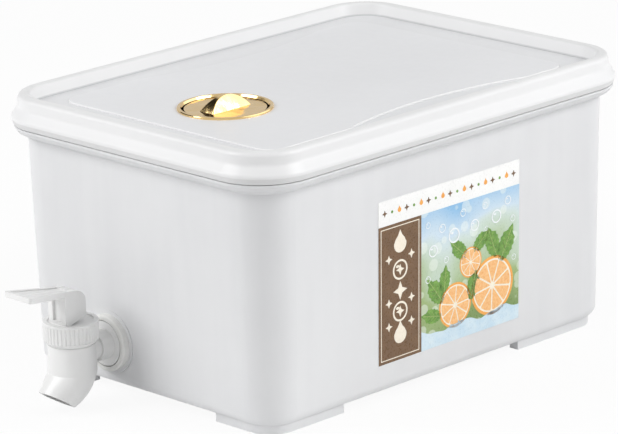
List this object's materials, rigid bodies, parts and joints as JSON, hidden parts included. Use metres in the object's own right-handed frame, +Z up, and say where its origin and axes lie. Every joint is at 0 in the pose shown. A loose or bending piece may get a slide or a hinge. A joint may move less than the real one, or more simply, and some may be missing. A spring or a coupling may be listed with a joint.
{
  "type": "fridge water jug with tap",
  "caption": "Flat rectangular fridge water jug with a push-fit lid, a turn cap with an arched grip and a push-down lever tap low on the front wall.",
  "frame": {"origin": "on the surface that the four feet stand on, under the middle of the box that holds the whole jug, from the lever's tip to the back of the lid", "axes": "+Z up; -Y is the front, the way the tap points; +X is the side that carries the label; the tub is symmetric about X = 0 and the tap stands 26.5 mm to the -X side"},
  "size_m": [0.21, 0.3384, 0.1553],
  "materials": {
    "frosted_wall": "frosted translucent polypropylene",
    "label_print": "thin glossy printed film",
    "lid_white": "smooth satin white polypropylene",
    "soft_seal": "pale silicone",
    "washer_soft": "pale moulded rubber",
    "cap_gold": "bright gold metallised plastic",
    "cap_white": "satin white plastic",
    "tap_white": "glossy white plastic",
    "lever_white": "glossy white plastic",
    "spring_steel": "plain drawn stainless wire"
  },
  "bodies": {
    "container": {"tub": "frosted_wall", "side_label": "label_print", "tap_body": "tap_white", "outer_washer": "washer_soft", "inner_washer": "washer_soft", "lock_nut": "tap_white", "tap_bonnet": "tap_white", "bonnet_gasket": "soft_seal", "stem_seal": "soft_seal"},
    "lid": {"lid": "lid_white", "lid_seal": "soft_seal"},
    "turn_cap": {"cap_cover": "cap_gold", "cap_plug": "cap_white", "cap_o_ring": "soft_seal"},
    "stem": {"valve_stem": "tap_white", "valve_plug": "soft_seal", "valve_spring": "spring_steel"},
    "lever": {"tap_lever": "lever_white", "lever_pin": "spring_steel"}
  },
  "joints": [
    {"name": "lid_lift", "type": "slide", "parent": "container", "child": "lid", "axis": [0, 0, 1], "range_m": [0, 0.16]},
    {"name": "cap_turn", "type": "hinge", "parent": "lid", "child": "turn_cap", "pos_m": [0, -0.04203, 0.1467], "axis": [0, 0, 1], "range_deg": [0, 90]},
    {"name": "stem_lift", "type": "slide", "parent": "container", "child": "stem", "axis": [0, 0, 1], "range_m": [0, 0.00314], "stiffness_N_per_m": 80, "springref_m": -0.003, "deforming": ["valve_spring"]},
    {"name": "lever_press", "type": "hinge", "parent": "stem", "child": "lever", "pos_m": [-0.0265, -0.1335, 0.0541], "axis": [1, 0, 0], "range_deg": [0, 20]}
  ],
  "couplings": [
    {"joint": "lever_press", "follows": "stem_lift", "rad_per_m": 111.1}
  ]
}
